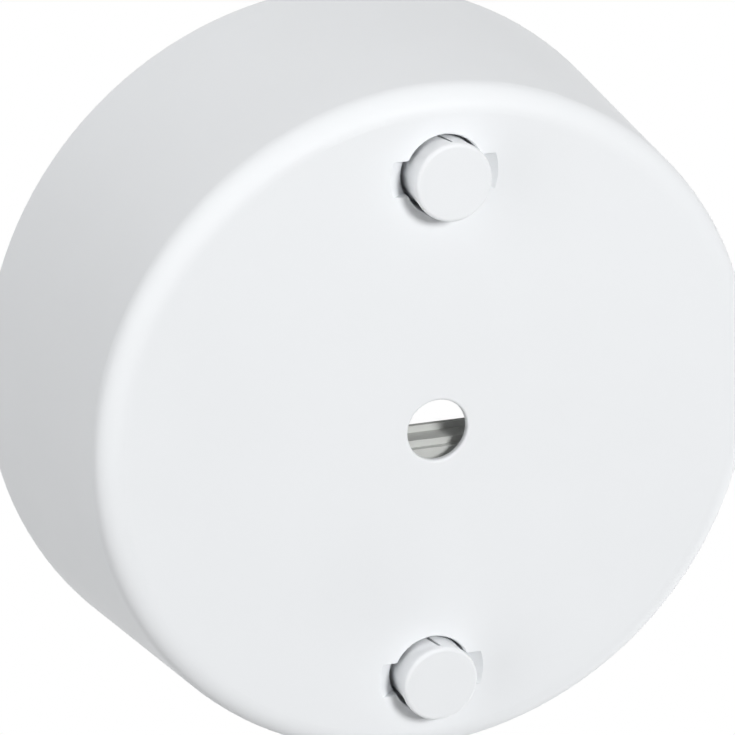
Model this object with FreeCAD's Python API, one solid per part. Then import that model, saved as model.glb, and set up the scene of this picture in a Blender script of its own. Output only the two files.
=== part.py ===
import FreeCAD, Part
import os

# Electrical ceiling rose, in millimetres. The origin is the centre of the ceiling plane and +Z points up
# into the ceiling, so the rose hangs below it. A depth is measured upwards from the cover's outer face.

# Cover
rose_height = 33.0
face_radius = 39.7
rim_radius = 43.2
face_wall = 2.0
side_wall = 1.8
edge_round = 3.0
inner_edge_bevel = 1.0
rim_bevel = 0.4
cord_hole_radius = 3.6
cord_hole_round = 0.35
cord_hole_land = 0.75
seat_rib_count = 8
seat_rib_width = 1.4
seat_clearance = 0.3

# Lock plugs and the tubes that guide them in the cover
plug_spacing = 60.0
plug_radius = 4.5
plug_clearance = 0.2
plug_proud = 3.0
plug_head_thickness = 0.9
plug_head_round = 0.45
plug_leg_inset = 0.2
plug_leg_shift = 0.1
plug_leg_wall = 1.5
plug_slit_offset = 0.25
plug_slit_root = 0.3
plug_slit_tip = 0.5
plug_slit_lean = 1.0
plug_hole_bevel = 0.15
plug_tube_wall = 1.6
plug_ledge_depth = 6.0
plug_ledge_thickness = 1.4
plug_ledge_offset = 0.4
plug_end_gap = 0.1
ramp_radius = 6.4
ramp_width = 4.1
ramp_depth = 1.4
snap_leg_width = 2.8
snap_leg_thickness = 1.3
snap_leg_overlap = 2.6
barb_height = 0.7
barb_length = 2.0

# Base plate
base_margin = 1.4
base_thickness = 2.6
base_rim_wall = 1.6
base_rim_height = 4.4
socket_height = 14.0
socket_wall = 1.6
socket_lip = 3.0
socket_undercut = 0.6
socket_undercut_length = 5.0
window_left = 7.8
window_right = 22.6
window_length = 54.0
window_corner = 4.0
window_collar_wall = 1.4
window_collar_height = 1.8
slot_spacing = 60.0
slot_width = 4.5
slot_length = 8.0
slot_pad_wall = 1.8
slot_pad_height = 1.4

# Terminal block and its brass clamps
block_centre_x = -16.5
block_width = 13.0
block_floor = 2.0
block_height = 12.0
block_pitch = 11.0
block_wall = 1.4
lug_radius = 3.8
lug_offset = 4.2
clamp_length = 11.0
clamp_side_gap = 0.5
clamp_height = 7.5
clamp_edge = 0.5
wire_bore_radius = 1.9
terminal_screw_radius = 1.6
terminal_screw_spacing = 6.4
terminal_screw_lift = 1.2
block_screw_radius = 1.4
block_screw_bite = 2.2

# Cord clamp under the cover's face
clamp_screw_spacing = 23.0
clamp_bar_y = 7.0
clamp_bar_width = 7.6
clamp_bar_thickness = 2.4
clamp_boss_radius = 3.1
clamp_boss_height = 4.0
clamp_nose_length = 16.0
clamp_nose_gap = 0.3
clamp_front = 1.35
clamp_tread = 0.8
clamp_small_riser = 0.75
clamp_tall_riser = 2.45
clamp_lip = 0.6
clamp_screw_radius = 1.4
clamp_screw_clearance = 0.25

# Screw heads
screw_head_radius = 2.7
screw_head_height = 1.8
screw_slot_width = 0.8
screw_slot_depth = 0.8

# Overrun that lets a cut pass clean through a face
overrun = 1.0

base_radius = rim_radius - side_wall - base_margin
plug_hole_radius = plug_radius + plug_clearance
plug_tube_depth = plug_ledge_depth + plug_ledge_thickness
socket_mouth = -base_thickness - socket_height
block_top = -base_thickness - block_floor
clamp_seat_depth = face_wall + clamp_boss_height


def vector(x, y, z):
    return FreeCAD.Vector(x, y, z)


def at_depth(depth):
    """Height of a point that lies this far inside the cover's outer face."""
    return depth - rose_height


def cylinder(radius, low, high, x=0.0, y=0.0):
    return Part.makeCylinder(radius, high - low, vector(x, y, low))


def block(x_span, y_span, z_span):
    size = [span[1] - span[0] for span in (x_span, y_span, z_span)]
    return Part.makeBox(*size, vector(x_span[0], y_span[0], z_span[0]))


def prism(points, direction):
    """Solid swept from a closed outline of straight edges."""
    outline = Part.makePolygon(points + points[:1])
    return Part.Face(outline).extrude(direction)


def slot_prism(centre_x, width, length, low, high):
    """Round-ended bar along X."""
    straight = (length - width) / 2
    ends = [cylinder(width / 2, low, high, centre_x + side * straight) for side in (-1, 1)]
    middle = block(
        (centre_x - straight, centre_x + straight), (-width / 2, width / 2), (low, high)
    )
    return ends[0].fuse([middle, ends[1]]).removeSplitter()


def rounded_window(margin, low, high):
    """Round-cornered cable window, made larger all round by a margin."""
    solid = block(
        (window_left - margin, window_right + margin),
        (-window_length / 2 - margin, window_length / 2 + margin),
        (low, high),
    )
    upright = [edge for edge in solid.Edges if edge.BoundBox.ZLength > (high - low) / 2]
    return solid.makeFillet(window_corner + margin, upright)


def edges_at_height(shape, z):
    level = 1e-6
    return [
        edge for edge in shape.Edges
        if abs(edge.BoundBox.ZMin - z) < level and abs(edge.BoundBox.ZMax - z) < level
    ]


def cord_hole():
    """Cutter for the cord hole: a rounded mouth, a short straight land and a flare inside."""
    mouth = at_depth(0)
    inside = at_depth(face_wall + overrun)
    outer_radius = cord_hole_radius + cord_hole_round
    diagonal = cord_hole_round * 0.5 ** 0.5
    corners = [
        vector(cord_hole_radius, 0, mouth + cord_hole_round),
        vector(cord_hole_radius, 0, mouth + cord_hole_land),
        vector(cord_hole_radius + inside - mouth - cord_hole_land, 0, inside),
        vector(0, 0, inside),
        vector(0, 0, mouth - overrun),
        vector(outer_radius, 0, mouth - overrun),
        vector(outer_radius, 0, mouth),
    ]
    sides = [Part.makeLine(start, end) for start, end in zip(corners, corners[1:])]
    middle = vector(outer_radius - diagonal, 0, mouth + cord_hole_round - diagonal)
    round_side = Part.Arc(corners[-1], middle, corners[0]).toShape()
    profile = Part.Face(Part.Wire(sides + [round_side]))
    return profile.revolve(vector(0, 0, 0), vector(0, 0, 1), 360)


def cover_radius(depth):
    return face_radius + (rim_radius - face_radius) * depth / rose_height


def screw(head_seat, tip, radius, x, y, up=True):
    """Slotted screw along Z. With up, it is driven upwards and its head lies below the seat."""
    sense = 1 if up else -1
    head_end = head_seat - sense * screw_head_height
    head = cylinder(screw_head_radius, min(head_seat, head_end), max(head_seat, head_end), x, y)
    shank = cylinder(radius, min(head_seat, tip), max(head_seat, tip), x, y)
    slot_floor = head_end + sense * screw_slot_depth
    slot_mouth = head_end - sense * overrun
    slot = block(
        (x - screw_slot_width / 2, x + screw_slot_width / 2),
        (y - screw_head_radius - overrun, y + screw_head_radius + overrun),
        (min(slot_floor, slot_mouth), max(slot_floor, slot_mouth)),
    )
    return head.fuse(shank).removeSplitter().cut(slot)


def plug_tube():
    """Guide tube on the cover's inner face, before its bore is cut."""
    radius = plug_hole_radius + plug_tube_wall
    return cylinder(radius, at_depth(face_wall / 2), at_depth(plug_tube_depth))


def plug_passage():
    """Bore of a plug hole: a half-moon ledge stays on the left, and the right half runs through."""
    bore = cylinder(plug_hole_radius, at_depth(-overrun), at_depth(plug_ledge_depth))
    mouth = Part.makeCone(
        plug_hole_radius + plug_hole_bevel + overrun,
        plug_hole_radius,
        plug_hole_bevel + overrun,
        vector(0, 0, at_depth(-overrun)),
    )
    through = cylinder(plug_hole_radius, at_depth(face_wall), at_depth(plug_tube_depth + overrun))
    ledge_side = block(
        (-plug_hole_radius - overrun, -plug_ledge_offset),
        (-plug_hole_radius - overrun, plug_hole_radius + overrun),
        (at_depth(0), at_depth(plug_tube_depth + 2 * overrun)),
    )
    return bore.fuse([mouth, through.cut(ledge_side)])


def pry_ramps():
    """Ramps on the left and right of a plug hole, cut as one cone inside a level band."""
    slope = (ramp_radius - plug_hole_radius) / ramp_depth
    cone = Part.makeCone(
        ramp_radius + slope * overrun,
        plug_hole_radius,
        ramp_depth + overrun,
        vector(0, 0, at_depth(-overrun)),
    )
    reach = ramp_radius + slope * overrun
    band = block(
        (-reach, reach), (-ramp_width / 2, ramp_width / 2), (at_depth(-overrun), at_depth(ramp_depth))
    )
    return cone.common(band)


def make_cover():
    outside = Part.makeCone(face_radius, rim_radius, rose_height, vector(0, 0, at_depth(0)))
    outside = outside.makeFillet(edge_round, edges_at_height(outside, at_depth(0)))
    outside = outside.makeChamfer(rim_bevel, edges_at_height(outside, 0))
    inside = Part.makeCone(
        cover_radius(face_wall) - side_wall,
        cover_radius(rose_height + overrun) - side_wall,
        rose_height + overrun - face_wall,
        vector(0, 0, at_depth(face_wall)),
    )
    inside = inside.makeChamfer(inner_edge_bevel, edges_at_height(inside, at_depth(face_wall)))
    half_wall = side_wall / 2
    middle_of_wall = Part.makeCone(
        face_radius - half_wall, rim_radius - half_wall, rose_height, vector(0, 0, at_depth(0))
    )
    additions = []
    for turn in range(seat_rib_count):
        rib = block(
            (base_radius + seat_clearance, rim_radius),
            (-seat_rib_width / 2, seat_rib_width / 2),
            (-base_thickness - base_rim_height, -rim_bevel),
        )
        rib.rotate(vector(0, 0, 0), vector(0, 0, 1), (turn + 0.5) * 360 / seat_rib_count)
        additions.append(rib.common(middle_of_wall))
    for side in (-1, 1):
        tube = plug_tube()
        tube.translate(vector(0, side * plug_spacing / 2, 0))
        boss = cylinder(
            clamp_boss_radius,
            at_depth(face_wall / 2),
            at_depth(clamp_seat_depth),
            side * clamp_screw_spacing / 2,
            clamp_bar_y,
        )
        additions += [tube, boss]
    cover = outside.cut(inside).fuse(additions).removeSplitter()
    cuts = [cord_hole()]
    for side in (-1, 1):
        for cutter in (plug_passage(), pry_ramps()):
            cutter.translate(vector(0, side * plug_spacing / 2, 0))
            cuts.append(cutter)
        cuts.append(
            cylinder(
                clamp_screw_radius,
                at_depth(face_wall),
                at_depth(clamp_seat_depth + overrun),
                side * clamp_screw_spacing / 2,
                clamp_bar_y,
            )
        )
    return cover.cut(cuts)


def plug_slit(root, end):
    """Slit between a plug's half-round legs. It leans to the left and widens away from the head."""
    reach = plug_radius + overrun
    end_x = plug_slit_offset - plug_slit_lean
    outline = [
        vector(plug_slit_offset - plug_slit_root / 2, -reach, root),
        vector(plug_slit_offset + plug_slit_root / 2, -reach, root),
        vector(end_x + plug_slit_tip / 2, -reach, end),
        vector(end_x - plug_slit_tip / 2, -reach, end),
    ]
    return prism(outline, vector(0, 2 * reach, 0))


def make_plug(side):
    """Lock plug: a round head on two half-round legs, and a slim snap leg that goes on to the base."""
    face = at_depth(-plug_proud)
    head = cylinder(plug_radius, face, face + plug_head_thickness)
    head = head.makeFillet(plug_head_round, edges_at_height(head, face))
    leg_root = face + plug_head_thickness
    leg_end = at_depth(plug_ledge_depth - plug_proud - plug_end_gap)
    leg_radius = plug_radius - plug_leg_inset
    legs = cylinder(leg_radius, leg_root, leg_end, plug_leg_shift)
    hollow = cylinder(leg_radius - plug_leg_wall, leg_root, leg_end, plug_leg_shift)
    legs = legs.cut([hollow, plug_slit(leg_root, leg_end)])
    tip = socket_mouth + snap_leg_overlap
    leg_out = plug_radius - barb_height
    leg_in = leg_out - snap_leg_thickness
    outline = [
        vector(leg_in, -snap_leg_width / 2, leg_root),
        vector(leg_out, -snap_leg_width / 2, leg_root),
        vector(leg_out, -snap_leg_width / 2, tip - barb_length),
        vector(plug_radius, -snap_leg_width / 2, tip - barb_length + barb_height / 2),
        vector(leg_out, -snap_leg_width / 2, tip),
        vector(leg_in, -snap_leg_width / 2, tip),
    ]
    snap_leg = prism(outline, vector(0, snap_leg_width, 0))
    snap_leg = snap_leg.common(cylinder(plug_radius, face, tip))
    plug = head.fuse([legs, snap_leg]).removeSplitter()
    plug.translate(vector(0, side * plug_spacing / 2, 0))
    return plug


def make_base():
    plate = cylinder(base_radius, -base_thickness, 0)
    rim_low = -base_thickness - base_rim_height
    rim = cylinder(base_radius, rim_low, 0).cut(
        cylinder(base_radius - base_rim_wall, rim_low - overrun, overrun)
    )
    collar_low = -base_thickness - window_collar_height
    additions = [rim, rounded_window(window_collar_wall, collar_low, 0)]
    pad_width = slot_width + 2 * slot_pad_wall
    pad_length = slot_length + 2 * slot_pad_wall
    pad_low = -base_thickness - slot_pad_height
    cuts = [rounded_window(0, collar_low - overrun, overrun)]
    for side in (-1, 1):
        slot_x = side * slot_spacing / 2
        plug_y = side * plug_spacing / 2
        socket_radius = plug_hole_radius + socket_wall
        lip_end = socket_mouth + socket_lip
        additions.append(slot_prism(slot_x, pad_width, pad_length, pad_low, 0))
        additions.append(cylinder(socket_radius, socket_mouth, 0, 0, plug_y))
        cuts.append(slot_prism(slot_x, slot_width, slot_length, pad_low - overrun, overrun))
        cuts.append(cylinder(plug_hole_radius, socket_mouth - overrun, lip_end, 0, plug_y))
        cuts.append(
            cylinder(
                plug_hole_radius + socket_undercut, lip_end, lip_end + socket_undercut_length, 0, plug_y
            )
        )
        cuts.append(
            cylinder(
                block_screw_radius,
                -base_thickness - overrun,
                -base_thickness + block_screw_bite,
                block_centre_x,
                side * lug_y(),
            )
        )
    return plate.fuse(additions).removeSplitter().cut(cuts)


def lug_y():
    """Distance of the terminal block's fixing screws from its middle."""
    return 1.5 * block_pitch + lug_offset


def make_terminal_block():
    low = -base_thickness - block_height
    x_span = (block_centre_x - block_width / 2, block_centre_x + block_width / 2)
    half_length = 1.5 * block_pitch + block_wall / 2
    floor = block(x_span, (-half_length, half_length), (block_top, -base_thickness))
    walls = []
    for step in (-1.5, -0.5, 0.5, 1.5):
        wall_y = step * block_pitch
        walls.append(
            block(x_span, (wall_y - block_wall / 2, wall_y + block_wall / 2), (low, -base_thickness))
        )
    lugs = []
    holes = []
    for side in (-1, 1):
        lugs.append(cylinder(lug_radius, block_top, -base_thickness, block_centre_x, side * lug_y()))
        tongue_y = sorted((side * half_length, side * lug_y()))
        tongue_x = (block_centre_x - lug_radius, block_centre_x + lug_radius)
        lugs.append(block(tongue_x, tongue_y, (block_top, -base_thickness)))
        holes.append(
            cylinder(
                block_screw_radius,
                block_top - overrun,
                -base_thickness + overrun,
                block_centre_x,
                side * lug_y(),
            )
        )
    return floor.fuse(walls + lugs).removeSplitter().cut(holes)


def make_terminal(step):
    """Brass wire clamp in one bay of the terminal block."""
    width = block_pitch - block_wall - 2 * clamp_side_gap
    clamp_y = step * block_pitch
    x_span = (block_centre_x - clamp_length / 2, block_centre_x + clamp_length / 2)
    low = block_top - clamp_height
    clamp = block(x_span, (clamp_y - width / 2, clamp_y + width / 2), (low, block_top))
    clamp = clamp.makeChamfer(clamp_edge, edges_at_height(clamp, low))
    bore = Part.makeCylinder(
        wire_bore_radius,
        clamp_length + 2 * overrun,
        vector(x_span[0] - overrun, clamp_y, block_top - clamp_height / 2),
        vector(1, 0, 0),
    )
    holes = [
        cylinder(
            terminal_screw_radius,
            low - overrun,
            block_top - clamp_height / 2,
            block_centre_x + side * terminal_screw_spacing / 2,
            clamp_y,
        )
        for side in (-1, 1)
    ]
    return clamp.cut([bore] + holes)


def make_terminal_screws():
    low = block_top - clamp_height
    seat = low - terminal_screw_lift
    tip = block_top - clamp_height / 2 - wire_bore_radius
    screws = [
        screw(
            seat,
            tip,
            terminal_screw_radius,
            block_centre_x + side * terminal_screw_spacing / 2,
            step * block_pitch,
        )
        for step in (-1, 0, 1)
        for side in (-1, 1)
    ]
    return Part.makeCompound(screws)


def make_block_screws():
    tip = -base_thickness + block_screw_bite
    screws = [
        screw(block_top, tip, block_screw_radius, block_centre_x, side * lug_y()) for side in (-1, 1)
    ]
    return Part.makeCompound(screws)


def make_cord_clamp():
    """Clamp bar on two bosses, with a stepped nose that reaches down to the cover's face."""
    seat = at_depth(clamp_seat_depth)
    back = seat + clamp_bar_thickness
    bar_length = clamp_screw_spacing + clamp_bar_width
    bar = slot_prism(0, clamp_bar_width, bar_length, seat, back)
    bar.translate(vector(0, clamp_bar_y, 0))
    nose_low = at_depth(face_wall + clamp_nose_gap)
    second = nose_low + clamp_small_riser
    first = second + clamp_tall_riser
    lip = first + clamp_lip
    nose_back = clamp_bar_y + clamp_bar_width / 2
    bar_front = clamp_bar_y - clamp_bar_width / 2
    treads = [clamp_front + step * clamp_tread for step in range(3)]
    nose_x = -clamp_nose_length / 2
    outline = [
        vector(nose_x, treads[0], lip),
        vector(nose_x, treads[0], first),
        vector(nose_x, treads[1], first),
        vector(nose_x, treads[1], second),
        vector(nose_x, treads[2], second),
        vector(nose_x, treads[2], nose_low),
        vector(nose_x, nose_back, nose_low),
        vector(nose_x, nose_back, back),
        vector(nose_x, bar_front, back),
    ]
    nose = prism(outline, vector(clamp_nose_length, 0, 0))
    holes = [
        cylinder(
            clamp_screw_radius + clamp_screw_clearance,
            seat - overrun,
            back + overrun,
            side * clamp_screw_spacing / 2,
            clamp_bar_y,
        )
        for side in (-1, 1)
    ]
    return bar.fuse(nose).removeSplitter().cut(holes)


def make_cord_clamp_screws():
    seat = at_depth(clamp_seat_depth) + clamp_bar_thickness
    tip = at_depth(face_wall)
    screws = [
        screw(seat, tip, clamp_screw_radius, side * clamp_screw_spacing / 2, clamp_bar_y, up=False)
        for side in (-1, 1)
    ]
    return Part.makeCompound(screws)


pieces = {
    "cover": make_cover(),
    "upper_plug": make_plug(-1),
    "lower_plug": make_plug(1),
    "base": make_base(),
    "terminal_block": make_terminal_block(),
    "live_terminal": make_terminal(-1),
    "earth_terminal": make_terminal(0),
    "neutral_terminal": make_terminal(1),
    "terminal_screws": make_terminal_screws(),
    "block_screws": make_block_screws(),
    "cord_clamp": make_cord_clamp(),
    "cord_clamp_screws": make_cord_clamp_screws(),
}

os.makedirs("parts", exist_ok=True)
for name, shape in pieces.items():
    shape.exportStep(os.path.join("parts", name + ".step"))
    print(name, shape.isValid(), len(shape.Solids), round(shape.Volume, 1))
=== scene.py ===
import math

import bpy
from mathutils import Matrix, Vector

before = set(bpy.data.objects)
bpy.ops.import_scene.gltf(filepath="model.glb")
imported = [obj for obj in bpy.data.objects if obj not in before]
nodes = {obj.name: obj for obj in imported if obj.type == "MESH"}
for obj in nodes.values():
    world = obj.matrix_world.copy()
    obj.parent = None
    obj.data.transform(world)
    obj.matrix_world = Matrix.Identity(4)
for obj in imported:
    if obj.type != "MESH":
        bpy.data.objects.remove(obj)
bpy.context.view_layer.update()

# Camera, below the rose and to the photograph's upper left, in metres
camera_place = Vector((-0.1658, -0.1644, -0.4258))
camera_aim = Vector((-0.0066, -0.0065, -0.0278))
camera_up = Vector((0, -1, 0))
camera_roll = math.radians(1.1)
camera_lens = 199.3
sensor_width = 36.0

# Floor and background, in metres and in levels where 1 is white
floor_height = -1.40
floor_size = 30.0
floor_colour = (0.82, 0.82, 0.82)
floor_glow = 0.84
floor_roughness = 0.7
floor_cloud_scale = 6.0
floor_cloud_detail = 4.0
floor_cloud_change = 0.01
background_level = 1.0
ambient_level = 0.06

# Lamps, with places and sizes in metres and powers in watts
lamp_target = Vector((0, 0, -0.02))
lamp_up = Vector((0, -1, 0.1))
key_place = Vector((0.24, -0.43, -1.0))
key_size = 0.32
key_power = 9.7
left_place = Vector((-0.9, -0.05, -0.12))
left_size = 0.8
left_length = 1.4
left_power = 5.7
top_place = Vector((0.0, -0.9, 0.3))
top_size = 1.1
top_power = 3.5
right_place = Vector((0.62, 0.72, 0.0))
right_size = 0.45
right_length = 1.3
right_power = 5.5
back_place = Vector((0.0, 0.05, 0.55))
back_size = 0.25
back_power = 2.0

# Plastics, with linear colours
white_plastic_roughness = 0.45
white_plastic_specular = 0.16
white_plastic_grain = 0.04
white_plastic_colour = (0.83, 0.846, 0.862)
base_plastic_roughness = 0.48
base_plastic_specular = 0.5
base_plastic_grain = 0.15
base_plastic_colour = (0.80, 0.80, 0.78)
block_plastic_roughness = 0.55
block_plastic_specular = 0.5
block_plastic_grain = 0.2
block_plastic_colour = (0.56, 0.57, 0.55)
plastic_ior = 1.5
plastic_cloud_scale = 45.0
plastic_cloud_detail = 3.0
plastic_cloud_change = 0.008
plastic_gloss_scale = 160.0
plastic_gloss_detail = 4.0
plastic_gloss_change = 0.04
plastic_grain_scale = 2600.0
plastic_grain_detail = 2.0
plastic_grain_depth = 0.00002

# Metals, with linear colours
brass_colour = (0.72, 0.52, 0.22)
brass_roughness = 0.3
brass_grain = 0.25
brass_streak_scales = (60.0, 3000.0, 3000.0)
steel_colour = (0.58, 0.58, 0.57)
steel_roughness = 0.34
steel_grain = 0.2
steel_streak_scales = (900.0, 900.0, 900.0)
metal_streak_detail = 5.0
metal_tone_scale = 300.0
metal_tone_detail = 3.0
metal_tone_change = 0.12
metal_gloss_change = 0.1
metal_grain_depth = 0.00004

# Noise values that tones and gloss are stretched between
noise_low = 0.3
noise_high = 0.7


def look_along(place, target, up):
    """Rotation of a camera or lamp at a place that looks at a target."""
    forward = (target - place).normalized()
    right = forward.cross(up).normalized()
    above = right.cross(forward)
    return Matrix((right, above, -forward)).transposed().to_4x4()


def add_camera():
    """Camera at the photograph's viewing angle."""
    data = bpy.data.cameras.new("photo_camera")
    data.lens = camera_lens
    data.sensor_width = sensor_width
    camera = bpy.data.objects.new("photo_camera", data)
    turn = look_along(camera_place, camera_aim, camera_up)
    camera.matrix_world = Matrix.Translation(camera_place) @ turn @ Matrix.Rotation(camera_roll, 4, "Z")
    bpy.context.scene.collection.objects.link(camera)
    bpy.context.scene.camera = camera


def add_area_light(name, place, size, length, power, highlight):
    """Soft oval lamp turned to the rose, with or without a highlight of its own."""
    data = bpy.data.lights.new(name, "AREA")
    data.shape = "ELLIPSE"
    data.size = size
    data.size_y = length
    data.energy = power
    lamp = bpy.data.objects.new(name, data)
    turn = look_along(place, lamp_target, lamp_up)
    lamp.matrix_world = Matrix.Translation(place) @ turn
    lamp.visible_camera = False
    lamp.visible_glossy = highlight
    bpy.context.scene.collection.objects.link(lamp)


def by_ray(tree, seen_level, other_level):
    """One level for camera, glossy and transmission rays, and another for the light on the object."""
    path = tree.nodes.new("ShaderNodeLightPath")
    mask = path.outputs["Is Camera Ray"]
    for ray in ("Is Glossy Ray", "Is Transmission Ray"):
        either = tree.nodes.new("ShaderNodeMath")
        either.operation = "MAXIMUM"
        tree.links.new(mask, either.inputs[0])
        tree.links.new(path.outputs[ray], either.inputs[1])
        mask = either.outputs[0]
    level = tree.nodes.new("ShaderNodeMapRange")
    level.inputs["To Min"].default_value = other_level
    level.inputs["To Max"].default_value = seen_level
    tree.links.new(mask, level.inputs["Value"])
    return level.outputs["Result"]


def add_world():
    """White behind the object and in reflections, and a plain ambient level for everything else."""
    world = bpy.data.worlds.new("studio")
    world.use_nodes = True
    tree = world.node_tree
    tree.nodes.clear()
    background = tree.nodes.new("ShaderNodeBackground")
    tree.links.new(by_ray(tree, background_level, ambient_level), background.inputs["Strength"])
    background.inputs["Color"].default_value = (1, 1, 1, 1)
    output = tree.nodes.new("ShaderNodeOutputWorld")
    tree.links.new(background.outputs[0], output.inputs[0])
    bpy.context.scene.world = world


def new_material(name):
    """New material with its node tree and main shader."""
    material = bpy.data.materials.new(name)
    material.use_nodes = True
    tree = material.node_tree
    return material, tree, tree.nodes["Principled BSDF"]


def object_noise(tree, scale, detail):
    """Noise fixed to the object."""
    place = tree.nodes.new("ShaderNodeTexCoord")
    noise = tree.nodes.new("ShaderNodeTexNoise")
    noise.inputs["Scale"].default_value = scale
    noise.inputs["Detail"].default_value = detail
    tree.links.new(place.outputs["Object"], noise.inputs["Vector"])
    return noise.outputs["Fac"]


def spread(tree, source, low, high):
    """Noise value stretched to a range."""
    node = tree.nodes.new("ShaderNodeMapRange")
    node.inputs["From Min"].default_value = noise_low
    node.inputs["From Max"].default_value = noise_high
    node.inputs["To Min"].default_value = low
    node.inputs["To Max"].default_value = high
    tree.links.new(source, node.inputs["Value"])
    return node.outputs["Result"]


def shade_range(tree, source, colour, change):
    """Colour that varies a little between a darker and a lighter tone."""
    ramp = tree.nodes.new("ShaderNodeValToRGB")
    ramp.color_ramp.elements[0].position = noise_low
    ramp.color_ramp.elements[1].position = noise_high
    ramp.color_ramp.elements[0].color = (*[channel * (1 - change) for channel in colour], 1)
    ramp.color_ramp.elements[1].color = (*[min(channel * (1 + change), 1) for channel in colour], 1)
    tree.links.new(source, ramp.inputs["Fac"])
    return ramp.outputs["Color"]


def add_bump(tree, shader, source, strength, distance):
    """Fine relief on a shader from a noise value."""
    bump = tree.nodes.new("ShaderNodeBump")
    bump.inputs["Strength"].default_value = strength
    bump.inputs["Distance"].default_value = distance
    tree.links.new(source, bump.inputs["Height"])
    tree.links.new(bump.outputs["Normal"], shader.inputs["Normal"])


def plastic(name, colour, roughness, specular, grain):
    """Moulded plastic: faint cloudiness, uneven gloss and a fine grain."""
    material, tree, shader = new_material(name)
    cloud = object_noise(tree, plastic_cloud_scale, plastic_cloud_detail)
    tree.links.new(shade_range(tree, cloud, colour, plastic_cloud_change), shader.inputs["Base Color"])
    gloss = object_noise(tree, plastic_gloss_scale, plastic_gloss_detail)
    gloss_range = spread(tree, gloss, roughness - plastic_gloss_change, roughness + plastic_gloss_change)
    tree.links.new(gloss_range, shader.inputs["Roughness"])
    shader.inputs["IOR"].default_value = plastic_ior
    shader.inputs["Specular IOR Level"].default_value = specular
    relief = object_noise(tree, plastic_grain_scale, plastic_grain_detail)
    add_bump(tree, shader, relief, grain, plastic_grain_depth)
    return material


def metal(name, colour, roughness, grain, streak_scales):
    """Machined metal: streaks in gloss and relief, with a slightly uneven tone."""
    material, tree, shader = new_material(name)
    place = tree.nodes.new("ShaderNodeTexCoord")
    scale = tree.nodes.new("ShaderNodeMapping")
    scale.inputs["Scale"].default_value = streak_scales
    tree.links.new(place.outputs["Object"], scale.inputs["Vector"])
    streaks = tree.nodes.new("ShaderNodeTexNoise")
    streaks.inputs["Scale"].default_value = 1.0
    streaks.inputs["Detail"].default_value = metal_streak_detail
    tree.links.new(scale.outputs["Vector"], streaks.inputs["Vector"])
    tone = object_noise(tree, metal_tone_scale, metal_tone_detail)
    tree.links.new(shade_range(tree, tone, colour, metal_tone_change), shader.inputs["Base Color"])
    streak = streaks.outputs["Fac"]
    gloss_range = spread(tree, streak, roughness - metal_gloss_change, roughness + metal_gloss_change)
    tree.links.new(gloss_range, shader.inputs["Roughness"])
    shader.inputs["Metallic"].default_value = 1.0
    add_bump(tree, shader, streak, grain, metal_grain_depth)
    return material


def white_plastic():
    """Satin white plastic of the cover and plugs."""
    return plastic(
        "white_plastic",
        white_plastic_colour,
        white_plastic_roughness,
        white_plastic_specular,
        white_plastic_grain,
    )


def base_plastic():
    """Warmer white plastic of the base."""
    return plastic(
        "base_plastic",
        base_plastic_colour,
        base_plastic_roughness,
        base_plastic_specular,
        base_plastic_grain,
    )


def block_plastic():
    """Matt grey plastic of the terminal block and cord clamp."""
    return plastic(
        "block_plastic",
        block_plastic_colour,
        block_plastic_roughness,
        block_plastic_specular,
        block_plastic_grain,
    )


def brass():
    """Drawn brass of the terminals, with streaks along X."""
    return metal("brass", brass_colour, brass_roughness, brass_grain, brass_streak_scales)


def zinc_steel():
    """Zinc-plated steel of the screws, with an even mottle."""
    return metal("zinc_steel", steel_colour, steel_roughness, steel_grain, steel_streak_scales)


def add_floor():
    """Large plain floor under the rose, pale to the camera and in reflections."""
    corner = floor_size / 2
    corners = [(-corner, -corner), (corner, -corner), (corner, corner), (-corner, corner)]
    mesh = bpy.data.meshes.new("studio_floor")
    mesh.from_pydata([(x, y, floor_height) for x, y in corners], [], [(0, 1, 2, 3)])
    floor = bpy.data.objects.new("studio_floor", mesh)
    material, tree, shader = new_material("pale_floor")
    cloud = object_noise(tree, floor_cloud_scale, floor_cloud_detail)
    tree.links.new(shade_range(tree, cloud, floor_colour, floor_cloud_change), shader.inputs["Base Color"])
    shader.inputs["Roughness"].default_value = floor_roughness
    shader.inputs["Emission Color"].default_value = (1, 1, 1, 1)
    tree.links.new(by_ray(tree, floor_glow, 0.0), shader.inputs["Emission Strength"])
    mesh.materials.append(material)
    bpy.context.scene.collection.objects.link(floor)


def dress(names, material):
    """Give CAD nodes their material."""
    for name in names:
        mesh = nodes[name].data
        mesh.materials.clear()
        mesh.materials.append(material)


bpy.context.scene.view_settings.view_transform = "Standard"
add_camera()
add_world()
add_floor()
add_area_light("key_light", key_place, key_size, key_size, key_power, True)
add_area_light("left_light", left_place, left_size, left_length, left_power, True)
add_area_light("top_light", top_place, top_size, top_size, top_power, True)
add_area_light("right_light", right_place, right_size, right_length, right_power, False)
add_area_light("back_light", back_place, back_size, back_size, back_power, True)
dress(["cover", "upper_plug", "lower_plug"], white_plastic())
dress(["base"], base_plastic())
dress(["terminal_block", "cord_clamp"], block_plastic())
dress(["live_terminal", "earth_terminal", "neutral_terminal"], brass())
dress(["terminal_screws", "block_screws", "cord_clamp_screws"], zinc_steel())
